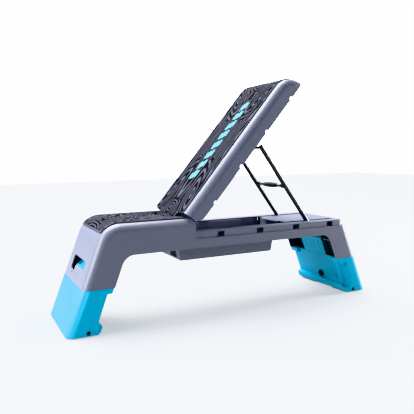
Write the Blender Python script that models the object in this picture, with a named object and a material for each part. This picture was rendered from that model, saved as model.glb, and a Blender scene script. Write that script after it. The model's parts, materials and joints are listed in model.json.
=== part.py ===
"""Folding aerobic step deck: a moulded bench whose backrest lies flat and whose two legs fold under it.

+X runs along the deck from the seat end to the backrest's tip, +Y across it, +Z up.
The origin lies on the floor under the middle of the deck. All sizes are in metres.
"""

from math import atan2, cos, degrees, hypot, pi, radians, sin, tan

import bmesh
import bpy
from mathutils import Matrix, Vector

# Overall sizes
FOOT_LENGTH = 1.2295
TOP_HEIGHT = 0.356
FLOOR_WIDTH = 0.314
TOP_WIDTH = 0.305
END_SLOPE = 0.381
GAP = 0.0003
WALL = 0.004

# Base shell
MAT_THICKNESS = 0.0037
END_RADIUS = 0.080
EDGE_RADIUS = 0.028
LEG_JOINT_HEIGHT = 0.1485
ARCH_HEIGHT = 0.249
ARCH_FILLET = 0.045
SHELL_LEG_DEPTH = 0.1044
SEAT_END_X = -0.163
SEAT_END_RADIUS = 0.022
LIP_HEIGHT = 0.2814
DECK_HEIGHT = 0.305
DECK_THICKNESS = 0.003
RAIL_INSET = 0.0055

# Backrest and its hinge
HINGE_X = -0.200
HINGE_Z = 0.320
BACKREST_ANGLE = 49.6
BACKREST_WALL = 0.003
BACKREST_START_X = -0.159
SKIRT_RISE = 0.0065
SKIRT_CORNER = 0.033
TONGUE_HALF = 0.070
TONGUE_RADIUS = 0.0515
TONGUE_CLEARANCE = 0.0025
HINGE_ROD_RADIUS = 0.005
RUNNING_GAP = 0.0003

# Mats
MAT_HALF = 0.126
MAT_WRAP = 0.72

# Notches in the skirt and the band pockets that they meet
POCKET_COUNT = 4
POCKET_FIRST_X = -0.063
POCKET_PITCH = 0.1623
POCKET_WIDTH = 0.028
NOTCH_RADIUS = 0.008

# Prop frame
PROP_FOOT_X = 0.3573
PROP_FOOT_Z = 0.290
PROP_TOP_X = 0.1347
PROP_TOP_Z = 0.5935
BAR_LEAVES = 126.6
PROP_HALF_SPACING = 0.1015
TUBE_RADIUS = 0.009
TUBE_WALL = 0.0016
TOP_BAR_RADIUS = 0.006
FOOT_PIN_RADIUS = 0.003
CROSSBAR_RADIUS = 0.006
CROSSBAR_FROM_FOOT = 0.194
GRIP_RADIUS = 0.0105
GRIP_HALF = 0.048
COLLAR_RADIUS = 0.009
COLLAR_LENGTH = 0.013

# Storage tray, pan and channels under the deck
TRAY_BOTTOM = 0.2035
TRAY_HALF = 0.118
TRAY_WALL = 0.0025
TRAY_LEFT_X = -0.207
TRAY_RIGHT_X = 0.166
WELL_LEFT_X = -0.155
WELL_RIGHT_X = 0.232
BAY_END_X = 0.2525
BRACKET_SLOT = (0.055, 0.0915)
WELL_HALF = 0.1125
CHANNEL_HALF_WIDTH = 0.011
CHANNEL_WALL = 0.003
CHANNEL_BOTTOM = 0.2535
CHANNEL_END_X = 0.470

# Folding legs
LEG_DEPTH = 0.1009
LEG_AXLE_X = 0.4552
LEG_AXLE_Z = 0.219
LEG_AXLE_RADIUS = 0.005
LEG_RECESS = 0.0155
FOOT_THICKNESS = 0.004
LEG_TONGUE_HALF = 0.070
FLANGE_HEIGHT = 0.017
FLANGE_START = 0.112
NOSE_REACH = 0.0035
GROOVE_START = 0.104
GROOVE_END = 0.136
GROOVE_DEPTH = 0.006
BUMPER_RADIUS = 0.012
PLUG_RADIUS = 0.0070

# Release levers and the windows that show them
WINDOW_HALF = 0.077
WINDOW_LOW = 0.178
WINDOW_HIGH = 0.227
LEVER_NEAR = -0.071
LEVER_FAR = 0.044
LEVER_TOP = 0.209
LEVER_PIN_RADIUS = 0.0025
LEVER_PIN_Z = 0.160

SHELL_TOP = TOP_HEIGHT - MAT_THICKNESS - GAP
HALF_LENGTH = FOOT_LENGTH / 2
TURN = pi / 2 - atan2(END_SLOPE, 1)
SLANT = hypot(1, END_SLOPE)


def end_x(z, inset=0.0):
    """How far from the middle the sloping end face lies at height z, moved inwards by inset."""
    return HALF_LENGTH - END_SLOPE * z - inset * SLANT


def half_width(z, inset=0.0):
    """Half the deck's width at height z: the sides lean in a little towards the top."""
    return (FLOOR_WIDTH - (FLOOR_WIDTH - TOP_WIDTH) * z / TOP_HEIGHT) / 2 - inset


def material(name, color, roughness, metallic=0.0):
    made = bpy.data.materials.new(name)
    made.use_nodes = True
    shader = made.node_tree.nodes["Principled BSDF"]
    shader.inputs["Base Color"].default_value = (*color, 1)
    shader.inputs["Roughness"].default_value = roughness
    shader.inputs["Metallic"].default_value = metallic
    return made


def prism(outline, low, high):
    """A closed solid: an outline of (x, z) points, drawn along Y from low to high."""
    bm = bmesh.new()
    face = bm.faces.new([bm.verts.new((x, low, z)) for x, z in outline])
    moved = bmesh.ops.extrude_face_region(bm, geom=[face])["geom"]
    verts = [item for item in moved if isinstance(item, bmesh.types.BMVert)]
    bmesh.ops.translate(bm, verts=verts, vec=(0, high - low, 0))
    bmesh.ops.recalc_face_normals(bm, faces=bm.faces)
    return bm


def block(low, high):
    bm = bmesh.new()
    bmesh.ops.create_cube(bm, size=1)
    size = Vector(high) - Vector(low)
    bmesh.ops.scale(bm, verts=bm.verts, vec=size)
    bmesh.ops.translate(bm, verts=bm.verts, vec=(Vector(low) + Vector(high)) / 2)
    return bm


def rod(x, z, radius, low, high, segments=16):
    """A round bar along Y."""
    bm = bmesh.new()
    bmesh.ops.create_cone(
        bm, cap_ends=True, segments=segments, radius1=radius, radius2=radius, depth=high - low
    )
    bmesh.ops.rotate(bm, verts=bm.verts, matrix=Matrix.Rotation(radians(90), 3, "X"))
    bmesh.ops.translate(bm, verts=bm.verts, vec=(x, (low + high) / 2, z))
    return bm


def turned(profile, start, end, segments=16):
    """A turned solid on the line from start to end: profile holds (distance along, radius), closed at both ends."""
    bm = bmesh.new()
    verts = [bm.verts.new((radius, 0, along)) for along, radius in profile]
    first = bm.verts.new((0, 0, profile[0][0]))
    last = bm.verts.new((0, 0, profile[-1][0]))
    chain = [first, *verts, last]
    edges = [bm.edges.new(pair) for pair in zip(chain, chain[1:])]
    bmesh.ops.spin(
        bm, geom=chain + edges, cent=(0, 0, 0), axis=(0, 0, 1), angle=2 * pi, steps=segments, use_merge=True
    )
    bmesh.ops.remove_doubles(bm, verts=bm.verts, dist=1e-6)
    bmesh.ops.recalc_face_normals(bm, faces=bm.faces)
    direction = Vector(end) - Vector(start)
    bmesh.ops.rotate(bm, verts=bm.verts, matrix=direction.to_track_quat("Z", "Y").to_matrix())
    bmesh.ops.translate(bm, verts=bm.verts, vec=start)
    return bm


def bevel_chain(bm, width, segments, chosen):
    edges = [edge for edge in bm.edges if chosen(*[vert.co for vert in edge.verts])]
    bmesh.ops.bevel(
        bm, geom=edges, offset=width, segments=segments, profile=0.5, affect="EDGES", material=-1
    )


def lean_sides(bm):
    """Gives a solid drawn at floor width the deck's narrowing towards the top."""
    for vert in bm.verts:
        vert.co.y *= half_width(vert.co.z) / half_width(0)


def mirrored(bm):
    """The same solid on the other end of the deck."""
    bmesh.ops.scale(bm, verts=bm.verts, vec=(-1, 1, 1))
    bmesh.ops.reverse_faces(bm, faces=bm.faces)
    return bm


def mesh_from(bm, name):
    mesh = bpy.data.meshes.new(name)
    bm.to_mesh(mesh)
    bm.free()
    return mesh


def combine(piece, tool, operation):
    """Applies a Boolean to the piece and throws the tool away."""
    helper = bpy.data.objects.new("tool", mesh_from(tool, "tool"))
    bpy.context.scene.collection.objects.link(helper)
    modifier = piece.modifiers.new("shape", "BOOLEAN")
    modifier.operation = operation
    modifier.solver = "EXACT"
    modifier.object = helper
    bpy.context.view_layer.update()
    graph = bpy.context.evaluated_depsgraph_get()
    shaped = bpy.data.meshes.new_from_object(piece.evaluated_get(graph))
    clean = bmesh.new()
    clean.from_mesh(shaped)
    bmesh.ops.remove_doubles(clean, verts=clean.verts, dist=2e-6)
    clean.to_mesh(shaped)
    clean.free()
    old = piece.data
    piece.modifiers.clear()
    piece.data = shaped
    bpy.data.meshes.remove(old)
    bpy.data.objects.remove(helper)


def cut(piece, *tools):
    for tool in tools:
        combine(piece, tool, "DIFFERENCE")


def add(piece, *tools):
    for tool in tools:
        combine(piece, tool, "UNION")


def solid(name, bm, finish):
    """A new piece, still in deck coordinates."""
    piece = bpy.data.objects.new(name, mesh_from(bm, name))
    piece.data.materials.append(finish)
    bpy.context.scene.collection.objects.link(piece)
    return piece


def axis_empty(name, x, z, parent=None):
    empty = bpy.data.objects.new(name, None)
    empty.empty_display_size = 0.05
    bpy.context.scene.collection.objects.link(empty)
    empty.location = (x, 0, z)
    if parent:
        empty.parent = parent
        empty.location = Vector((x, 0, z)) - Vector(parent["pivot"])
    empty["pivot"] = (x, 0, z)
    return empty


def hang(piece, empty):
    """Puts a piece under the empty on its joint's axis, with the piece's origin there."""
    piece.data.transform(Matrix.Translation(-Vector(empty["pivot"])))
    piece.parent = empty


def finish_piece(piece):
    piece.data.shade_smooth()
    piece.data.set_sharp_from_angle(angle=radians(35))


def arc(center_x, center_z, radius, start, end, steps):
    """Points on an arc, with angles in degrees from +X towards +Z."""
    angles = [radians(start + (end - start) * step / steps) for step in range(steps + 1)]
    return [(center_x + radius * cos(angle), center_z + radius * sin(angle)) for angle in angles]


def corner_arc(side, inset=0.0, steps=7, share=1.0):
    """The rounded corner between an end face and the flat top, from the top towards the end face."""
    radius = END_RADIUS - inset
    center_z = SHELL_TOP - END_RADIUS
    center_x = end_x(SHELL_TOP) - END_RADIUS * tan(TURN / 2)
    points = arc(center_x, center_z, radius, 90, 90 - degrees(TURN) * share, steps)
    return [(side * x, z) for x, z in points]


def arch_corner(side):
    """The filleted inner corner between a shell leg and the arch, from the leg towards the arch."""
    inner = end_x(LEG_JOINT_HEIGHT) - SHELL_LEG_DEPTH + END_SLOPE * LEG_JOINT_HEIGHT
    reach = ARCH_FILLET * tan(TURN / 2)
    center_x = inner - END_SLOPE * ARCH_HEIGHT - reach
    center_z = ARCH_HEIGHT - ARCH_FILLET
    points = arc(center_x, center_z, ARCH_FILLET, 90 - degrees(TURN), 90, 6)
    return [(side * x, z) for x, z in points]


def notch_places():
    return [POCKET_FIRST_X + POCKET_PITCH * count for count in range(POCKET_COUNT)]


def on_outline(a, b, outline):
    """Whether an edge's two ends both lie on the outline, so that it runs along the outline."""
    near = [
        any(abs(co.x - x) < 1e-5 and abs(co.z - z) < 1e-5 for x, z in outline) for co in (a, b)
    ]
    return all(near) and abs(a.y - b.y) < 1e-5


def shell_body(inset, outline, seat_edge, tip_edge):
    """The deck's outer form, or the space inside it, with the long edges rounded."""
    half = FLOOR_WIDTH / 2 - inset
    bm = prism(outline, -half, half)
    bevel_chain(
        bm,
        EDGE_RADIUS - inset,
        5,
        lambda a, b: on_outline(a, b, seat_edge) or on_outline(a, b, tip_edge),
    )
    lean_sides(bm)
    return bm


def deck_outline(reach, inset=0.0):
    """The rail's outline from above: square at the seat, rounded at the far corners."""
    half = half_width(LIP_HEIGHT) - RAIL_INSET - inset
    end = end_x(DECK_HEIGHT) - RAIL_INSET - inset
    radius = 0.022 - inset
    points = [(reach, -half), (end - radius, -half)]
    points += arc(end - radius, -half + radius, radius, -90, 0, 4)[1:]
    points += arc(end - radius, half - radius, radius, 0, 90, 4)
    return [*points, (reach, half)]


def plate(outline, low, high):
    """An outline of (x, y) points raised from low to high."""
    bm = prism(outline, low, high)
    for vert in bm.verts:
        vert.co = (vert.co.x, vert.co.z, vert.co.y)
    bmesh.ops.reverse_faces(bm, faces=bm.faces)
    return bm


def hinge_notch():
    """The room that the backrest's round tongue turns in."""
    radius = TONGUE_RADIUS + TONGUE_CLEARANCE
    half = TONGUE_HALF + TONGUE_CLEARANCE
    room = arc(HINGE_X, HINGE_Z, radius, 100, 270, 12)
    room = [(room[0][0], TOP_HEIGHT + 0.02), *room, (SEAT_END_X + 0.03, HINGE_Z - radius)]
    room.append((SEAT_END_X + 0.03, TOP_HEIGHT + 0.02))
    return prism(room, -half, half)


def build_base_shell(grey):
    seat_edge = [(-end_x(LEG_JOINT_HEIGHT), LEG_JOINT_HEIGHT), *reversed(corner_arc(-1)), (SEAT_END_X, SHELL_TOP)]
    tip_edge = [(end_x(LIP_HEIGHT), LIP_HEIGHT), (end_x(LEG_JOINT_HEIGHT), LEG_JOINT_HEIGHT)]
    inner_foot = end_x(LEG_JOINT_HEIGHT) - SHELL_LEG_DEPTH
    outline = [*seat_edge, (SEAT_END_X, LIP_HEIGHT), *tip_edge, (inner_foot, LEG_JOINT_HEIGHT)]
    outline += [*arch_corner(1), *reversed(arch_corner(-1)), (-inner_foot, LEG_JOINT_HEIGHT)]
    shell = solid("base_shell", shell_body(0, outline, seat_edge, tip_edge), grey)

    low = LEG_JOINT_HEIGHT - 0.05
    chamfer = SEAT_END_RADIUS + WALL
    seat_inside = [(-end_x(low, WALL), low), *reversed(corner_arc(-1, WALL)), (SEAT_END_X - chamfer, SHELL_TOP - WALL)]
    seat_turn = [(SEAT_END_X - WALL, SHELL_TOP - chamfer), (SEAT_END_X - WALL, LIP_HEIGHT - WALL)]
    tip_inside = [(end_x(LIP_HEIGHT - WALL, WALL), LIP_HEIGHT - WALL), (end_x(low, WALL), low)]
    inside = seat_inside + seat_turn + tip_inside

    deck = plate(deck_outline(SEAT_END_X - WALL / 2), LIP_HEIGHT - WALL / 2, DECK_HEIGHT)
    under_deck = plate(
        deck_outline(SEAT_END_X, WALL), LIP_HEIGHT - 2 * WALL, DECK_HEIGHT - DECK_THICKNESS
    )
    channel_half = CHANNEL_HALF_WIDTH + CHANNEL_WALL
    hinge_block = block(
        (HINGE_X - TONGUE_RADIUS - 0.0105, -TONGUE_HALF - 0.007, HINGE_Z - TONGUE_RADIUS - 0.0065),
        (SEAT_END_X - 0.001, TONGUE_HALF + 0.007, SHELL_TOP - 0.001),
    )
    cut(shell, shell_body(WALL, inside, seat_inside, tip_inside))
    add(shell, deck)
    cut(shell, under_deck)
    add(shell, hinge_block)
    for side in (-1, 1):
        y = side * PROP_HALF_SPACING
        add(
            shell,
            block(
                (BAY_END_X + 0.002, y - channel_half, CHANNEL_BOTTOM),
                (CHANNEL_END_X, y + channel_half, DECK_HEIGHT - 0.001),
            ),
        )
        cut(
            shell,
            block(
                (WELL_RIGHT_X - 0.005, y - CHANNEL_HALF_WIDTH, CHANNEL_BOTTOM + 0.002),
                (CHANNEL_END_X - CHANNEL_WALL, y + CHANNEL_HALF_WIDTH, DECK_HEIGHT + 0.01),
            ),
        )
    cut(shell, hinge_notch())
    cut(
        shell,
        block(
            (WELL_LEFT_X, -WELL_HALF, LIP_HEIGHT), (WELL_RIGHT_X, WELL_HALF, DECK_HEIGHT + 0.01)
        ),
    )
    for side in (-1, 1):
        ends = sorted(side * reach for reach in BRACKET_SLOT)
        cut(
            shell,
            block((WELL_RIGHT_X - 0.005, ends[0], LIP_HEIGHT), (BAY_END_X - 0.002, ends[1], DECK_HEIGHT + 0.01)),
        )
    cut(shell, seat_end_rounding())
    for side in (-1, 1):
        add_leg_bosses(shell, side)
        cut(shell, window_cutter(side))
        for x in notch_places():
            cut(shell, pocket_cutter(x, side))
    cut(
        shell,
        rod(HINGE_X, HINGE_Z, HINGE_ROD_RADIUS + RUNNING_GAP, -TONGUE_HALF - 0.02, TONGUE_HALF + 0.02),
        rod(
            PROP_FOOT_X,
            PROP_FOOT_Z,
            FOOT_PIN_RADIUS + RUNNING_GAP,
            -PROP_HALF_SPACING - 0.02,
            PROP_HALF_SPACING + 0.02,
            12,
        ),
    )
    return shell


def seat_end_rounding():
    """What is cut off to round the top corner of the seat's end."""
    top = SHELL_TOP + 0.01
    center = (SEAT_END_X - SEAT_END_RADIUS, SHELL_TOP - SEAT_END_RADIUS)
    curve = arc(*center, SEAT_END_RADIUS, 0, 90, 6)
    outline = [*curve, (center[0], top), (SEAT_END_X + 0.01, top), (SEAT_END_X + 0.01, center[1])]
    return prism(outline, -FLOOR_WIDTH, FLOOR_WIDTH)


def add_leg_bosses(shell, side):
    """The lugs inside the side walls that hold a leg's axle, with their blind bores."""
    x = side * LEG_AXLE_X
    wall = half_width(LEG_AXLE_Z)
    for y_side in (-1, 1):
        ends = sorted((y_side * 0.138, y_side * (wall - WALL / 2)))
        add(shell, rod(x, LEG_AXLE_Z, 0.010, *ends))
        ends = sorted((y_side * 0.130, y_side * (wall - WALL)))
        cut(shell, rod(x, LEG_AXLE_Z, LEG_AXLE_RADIUS + RUNNING_GAP, *ends))


def window_cutter(side):
    """The window in an end face, with its corners cut off."""
    corner = 0.008
    half = WINDOW_HALF
    outline = [(-half + corner, WINDOW_LOW), (half - corner, WINDOW_LOW), (half, WINDOW_LOW + corner)]
    outline += [(half, WINDOW_HIGH - corner), (half - corner, WINDOW_HIGH), (-half + corner, WINDOW_HIGH)]
    outline += [(-half, WINDOW_HIGH - corner), (-half, WINDOW_LOW + corner)]
    bm = prism(outline, 0, 0.04)
    for vert in bm.verts:
        vert.co = (end_x(vert.co.z) - 0.02 + vert.co.y, vert.co.x, vert.co.z)
    bmesh.ops.reverse_faces(bm, faces=bm.faces)
    return bm if side > 0 else mirrored(bm)


def pocket_cutter(x, side):
    """A band pocket in the outer face of a rail."""
    outer = half_width(LIP_HEIGHT) - RAIL_INSET
    y_ends = sorted((side * (outer - WALL - 0.003), side * (outer + 0.003)))
    return block(
        (x - POCKET_WIDTH / 2, y_ends[0], LIP_HEIGHT + 0.0015),
        (x + POCKET_WIDTH / 2, y_ends[1], DECK_HEIGHT - DECK_THICKNESS - 0.001),
    )


def mat_strip(side, start_x, low_gap):
    """The outline of a mat that lies on the flat top and wraps over one rounded end."""
    upper = corner_arc(side, -low_gap - MAT_THICKNESS, 7, MAT_WRAP)
    lower = corner_arc(side, -low_gap, 7, MAT_WRAP)
    flat = [(start_x, SHELL_TOP + low_gap), (start_x, SHELL_TOP + low_gap + MAT_THICKNESS)]
    return [*flat, *upper, *reversed(lower)]


def build_seat_mat(rubber):
    start = SEAT_END_X - SEAT_END_RADIUS
    mat = solid("seat_mat", prism(mat_strip(-1, start, GAP), -MAT_HALF, MAT_HALF), rubber)
    reach = (TONGUE_RADIUS + TONGUE_CLEARANCE) ** 2 - (SHELL_TOP - HINGE_Z) ** 2
    edge = HINGE_X - reach**0.5 - 0.0005
    half = TONGUE_HALF + TONGUE_CLEARANCE
    cut(mat, block((edge, -half, SHELL_TOP - 0.01), (SEAT_END_X, half, TOP_HEIGHT + 0.01)))
    return mat


def build_tray(grey):
    top = DECK_HEIGHT - DECK_THICKNESS - GAP
    shelf = HINGE_Z - TONGUE_RADIUS - 0.0065 - 0.0045
    step_x = SEAT_END_X + 0.0045
    lean = 0.2
    left = TRAY_LEFT_X - lean * (shelf - TRAY_BOTTOM)
    right_top = 0.2435
    right = TRAY_RIGHT_X + lean * (right_top - TRAY_BOTTOM)
    outline = [(TRAY_LEFT_X, TRAY_BOTTOM), (TRAY_RIGHT_X, TRAY_BOTTOM), (right, right_top), (right, top)]
    outline += [(step_x, top), (step_x, shelf), (left, shelf)]
    tray = solid("storage_tray", prism(outline, -TRAY_HALF, TRAY_HALF), grey)
    floor = TRAY_BOTTOM + TRAY_WALL
    wall = TRAY_WALL
    room = [(TRAY_LEFT_X + wall, floor), (TRAY_RIGHT_X - wall, floor), (right - wall, right_top)]
    room += [(right - wall, top + 0.01), (step_x + wall, top + 0.01)]
    room += [(step_x + wall, shelf - wall), (left + wall, shelf - wall)]
    cut(tray, prism(room, -TRAY_HALF + wall, TRAY_HALF - wall))
    for y_side in (-1, 1):
        for low_x, high_x in ((WELL_LEFT_X + 0.004, -0.040), (0.012, 0.153)):
            ends = sorted((y_side * 0.0855, y_side * 0.0895))
            add(tray, block((low_x, ends[0], floor - 0.001), (high_x, ends[1], DECK_HEIGHT - 0.0015)))
    cut(tray, block((right - 0.02, -TRAY_HALF + wall, right_top), (right + 0.01, TRAY_HALF - wall, top + 0.01)))
    return tray, right


def build_well_pan(grey, tray_right):
    """The shallow pan between the tray and the deck plate, which takes the prop's grip."""
    half = TRAY_HALF
    top = DECK_HEIGHT - DECK_THICKNESS - GAP
    low, high = 0.2413, 0.2475
    step_x = 0.2055
    thick = 0.002
    start = tray_right + GAP
    end = BAY_END_X
    outline = [(start, low), (step_x, low), (step_x + 0.004, high), (end, high), (end, top), (start, top)]
    pan = solid("well_pan", prism(outline, -half, half), grey)
    room = [(start - 0.01, low + thick), (step_x - 0.001, low + thick), (step_x + 0.003, high + thick)]
    room += [(end - thick, high + thick), (end - thick, top + 0.01), (start - 0.01, top + 0.01)]
    cut(pan, prism(room, -half + TRAY_WALL, half - TRAY_WALL))
    for side in (-1, 1):
        y = side * PROP_HALF_SPACING
        slot = CHANNEL_HALF_WIDTH + 0.001
        cut(pan, block((end - 0.01, y - slot, high + thick), (end + 0.01, y + slot, top + 0.01)))
    return pan


def build_prop(steel, rubber, empty):
    """The prop is drawn standing on the origin, and its empty then leans it from its foot to its top."""
    length = hypot(PROP_TOP_X - PROP_FOOT_X, PROP_TOP_Z - PROP_FOOT_Z)
    pieces = []
    for side, name in ((-1, "near"), (1, "far")):
        y = side * PROP_HALF_SPACING
        low, high = -TUBE_RADIUS + 0.002, length + TUBE_RADIUS - 0.002
        tube = solid(f"prop_tube_{name}", upright([(low, TUBE_RADIUS), (high, TUBE_RADIUS)], y), steel)
        cut(tube, upright([(low - 0.01, TUBE_RADIUS - TUBE_WALL), (high + 0.01, TUBE_RADIUS - TUBE_WALL)], y))
        cut(tube, rod(0, 0, FOOT_PIN_RADIUS + RUNNING_GAP, y - 0.015, y + 0.015, 12))
        inner = sorted((side * (PROP_HALF_SPACING - 0.014), side * (PROP_HALF_SPACING + 0.0031)))
        cut(tube, rod(0, length, TOP_BAR_RADIUS + GAP, *inner, 14))
        pieces.append(tube)
        for where, base, out in (("foot", low, -1), ("top", high, 1)):
            neck = TUBE_RADIUS - TUBE_WALL - GAP
            profile = [(base - out * 0.0008, neck), (base + out * GAP, neck)]
            profile += [(base + out * GAP, TUBE_RADIUS), (base + out * 0.0012, TUBE_RADIUS)]
            profile += [(base + out * 0.0022, TUBE_RADIUS - 0.0015)]
            pieces.append(solid(f"prop_{where}_cap_{name}", upright(profile, y), rubber))
    inside = PROP_HALF_SPACING + 0.0015
    pieces.append(solid("prop_top_bar", rod(0, length, TOP_BAR_RADIUS, -inside, inside, 14), steel))
    height = CROSSBAR_FROM_FOOT
    reach = PROP_HALF_SPACING - TUBE_RADIUS - GAP
    pieces.append(solid("prop_crossbar", rod(0, height, CROSSBAR_RADIUS, -reach, reach), steel))
    bore_radius = CROSSBAR_RADIUS + GAP
    for side, name in ((-1, "near"), (1, "far")):
        ends = sorted((side * (reach - COLLAR_LENGTH), side * (reach - GAP)))
        collar = solid(f"prop_collar_{name}", rod(0, height, COLLAR_RADIUS, *ends), rubber)
        cut(collar, rod(0, height, bore_radius, ends[0] - 0.01, ends[1] + 0.01))
        pieces.append(collar)
    waist = CROSSBAR_RADIUS + 0.0014
    shares = [step / 8 for step in range(9)]
    profile = [(2 * GRIP_HALF * share, waist + (GRIP_RADIUS - waist) * sin(pi * share) ** 0.8) for share in shares]
    grip = solid("prop_grip", turned(profile, (0, -GRIP_HALF, height), (0, GRIP_HALF, height)), rubber)
    cut(grip, rod(0, height, bore_radius, -GRIP_HALF - 0.01, GRIP_HALF + 0.01))
    pieces.append(grip)
    for piece in pieces:
        piece.parent = empty
    empty.rotation_euler.y = atan2(PROP_TOP_X - PROP_FOOT_X, PROP_TOP_Z - PROP_FOOT_Z)
    return pieces


def upright(profile, y):
    """A turned solid that stands at y: profile holds (height, radius)."""
    return turned(profile, (0, y, 0), (0, y, 1), 18)


def build_foot_pins(steel):
    """The pins that hold the prop's feet in the channels."""
    pins = []
    for side, name in ((-1, "near"), (1, "far")):
        y = side * PROP_HALF_SPACING
        pin = rod(PROP_FOOT_X, PROP_FOOT_Z, FOOT_PIN_RADIUS, y - 0.0138, y + 0.0138, 12)
        pins.append(solid(f"prop_foot_pin_{name}", pin, steel))
    return pins


def build_backrest(grey, rubber, black, empty):
    """The backrest is drawn lying flat, closed on the deck, and then turned up about its hinge."""
    low = LIP_HEIGHT + GAP
    start = (BACKREST_START_X, SHELL_TOP)
    edge = [start, *corner_arc(1), (end_x(low), low)]
    corner = arc(BACKREST_START_X + SKIRT_CORNER, low + SKIRT_RISE + SKIRT_CORNER, SKIRT_CORNER, 270, 180, 6)
    outline = [*edge, *corner]
    shell = solid("backrest_shell", shell_body(0, outline, edge, []), grey)
    wall = BACKREST_WALL
    under = low - 0.03
    inner_start = (BACKREST_START_X - 0.02, SHELL_TOP - wall)
    inner = [inner_start, *corner_arc(1, wall), (end_x(under, wall), under)]
    cut(shell, shell_body(wall, [*inner, (inner_start[0], under)], inner, []))
    add(shell, *backrest_ribs())
    add(shell, tongue_body())
    cut(shell, tongue_room())
    add(shell, rod(HINGE_X, HINGE_Z, 0.0095, -TONGUE_HALF + 0.001, TONGUE_HALF - 0.001))
    add(shell, block((HINGE_X - 0.003, -TONGUE_HALF + 0.001, HINGE_Z + 0.004), (HINGE_X + 0.003, TONGUE_HALF - 0.001, SHELL_TOP - 0.001)))
    cut(shell, rod(HINGE_X, HINGE_Z, HINGE_ROD_RADIUS + RUNNING_GAP, -TONGUE_HALF - 0.01, TONGUE_HALF + 0.01))
    for x in notch_places():
        height = low + SKIRT_RISE * (end_x(low) - x) / (end_x(low) - BACKREST_START_X)
        notch = [*arc(x, height, NOTCH_RADIUS, 0, 180, 6), (x - NOTCH_RADIUS, low - 0.01), (x + NOTCH_RADIUS, low - 0.01)]
        cut(shell, prism(notch, -FLOOR_WIDTH, FLOOR_WIDTH))
    mat_start = BACKREST_START_X + 0.001
    mat = solid("backrest_mat", prism(mat_strip(1, mat_start, GAP), -MAT_HALF, MAT_HALF), rubber)
    tongue_end = HINGE_X - (TONGUE_RADIUS**2 - (TOP_HEIGHT - HINGE_Z) ** 2) ** 0.5
    add(
        mat,
        block(
            (tongue_end, -TONGUE_HALF + 0.002, SHELL_TOP + GAP),
            (mat_start + 0.01, TONGUE_HALF - 0.002, SHELL_TOP + GAP + MAT_THICKNESS),
        ),
    )
    pieces = [shell, mat]
    for side, name in ((-1, "near"), (1, "far")):
        y_ends = sorted((side * 0.058, side * 0.084))
        pieces.append(solid(f"prop_bracket_{name}", prism(bracket_outline(), *y_ends), black))
    for piece in pieces:
        hang(piece, empty)
    empty.rotation_euler.y = -radians(BACKREST_ANGLE)
    return pieces


def backrest_ribs():
    """Ribs under the tip, and shallow ones along the middle that the prop passes under."""
    ribs = []
    top = SHELL_TOP - 0.001
    half = TOP_WIDTH / 2 - EDGE_RADIUS
    for x in (0.30, 0.36, 0.42):
        ribs.append(block((x, -half, 0.320), (x + 0.0025, half, top)))
    for side in (-1, 1):
        ends = sorted((side * (TONGUE_HALF - 0.001), side * (half_width(HINGE_Z) - 0.002)))
        ribs.append(block((-0.146, ends[0], 0.309), (-0.1435, ends[1], top - 0.012)))
        ends = sorted((side * (TONGUE_HALF - 0.001), side * half))
        ribs.append(block((-0.146, ends[0], top - 0.013), (-0.1435, ends[1], top)))
    for y in (-0.045, 0.0, 0.045):
        ribs.append(block((-0.150, y - 0.00125, SHELL_TOP - BACKREST_WALL - 0.003), (0.31, y + 0.00125, top)))
    return ribs


def tongue_body():
    radius = TONGUE_RADIUS
    top_angle = 180 - degrees(atan2(SHELL_TOP - HINGE_Z, (radius**2 - (SHELL_TOP - HINGE_Z) ** 2) ** 0.5))
    outline = [(BACKREST_START_X + 0.006, SHELL_TOP), *arc(HINGE_X, HINGE_Z, radius, top_angle, 236, 10)]
    outline.append((BACKREST_START_X + 0.006, HINGE_Z - 0.012))
    return prism(outline, -TONGUE_HALF, TONGUE_HALF)


def tongue_room():
    """The hollow inside the tongue, open below and towards the backrest."""
    wall = BACKREST_WALL
    radius = TONGUE_RADIUS - wall
    height = SHELL_TOP - wall - HINGE_Z
    top_angle = 180 - degrees(atan2(height, (radius**2 - height**2) ** 0.5))
    outline = [(BACKREST_START_X + 0.02, SHELL_TOP - wall), *arc(HINGE_X, HINGE_Z, radius, top_angle, 236, 10)]
    outline += [(HINGE_X, HINGE_Z - TONGUE_RADIUS - 0.01), (BACKREST_START_X + 0.02, HINGE_Z - 0.04)]
    return prism(outline, -TONGUE_HALF + wall, TONGUE_HALF - wall)


def bracket_outline():
    """A bracket that rests on the prop's top bar: open towards the hinge, where the bar leaves it."""
    angle = radians(BACKREST_ANGLE)
    lever_x, lever_z = PROP_TOP_X - HINGE_X, PROP_TOP_Z - HINGE_Z
    bar_x = HINGE_X + lever_x * cos(angle) + lever_z * sin(angle)
    bar_z = HINGE_Z - lever_x * sin(angle) + lever_z * cos(angle)
    leave = radians(BAR_LEAVES)
    offset = TOP_BAR_RADIUS + 2 * GAP
    seat_x = bar_x + offset * sin(leave)
    seat_z = bar_z - offset * cos(leave)
    bottom = 0.2507
    slope = cos(leave) / sin(leave)
    top = SHELL_TOP - BACKREST_WALL - GAP
    knee = HINGE_Z - 0.02
    outline = [(seat_x + slope * (bottom - seat_z), bottom), (seat_x + slope * (knee - seat_z), knee)]
    outline += [(seat_x + slope * (knee - seat_z), top), (seat_x + 0.013, top)]
    return [*outline, (seat_x + 0.013, knee - 0.02), (seat_x + 0.008, bottom)]


def leg_face(z, offset=0.0):
    """How far from the middle a leg's inner rim plane lies at height z, moved outwards by offset."""
    return end_x(z) - LEG_DEPTH + offset


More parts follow.
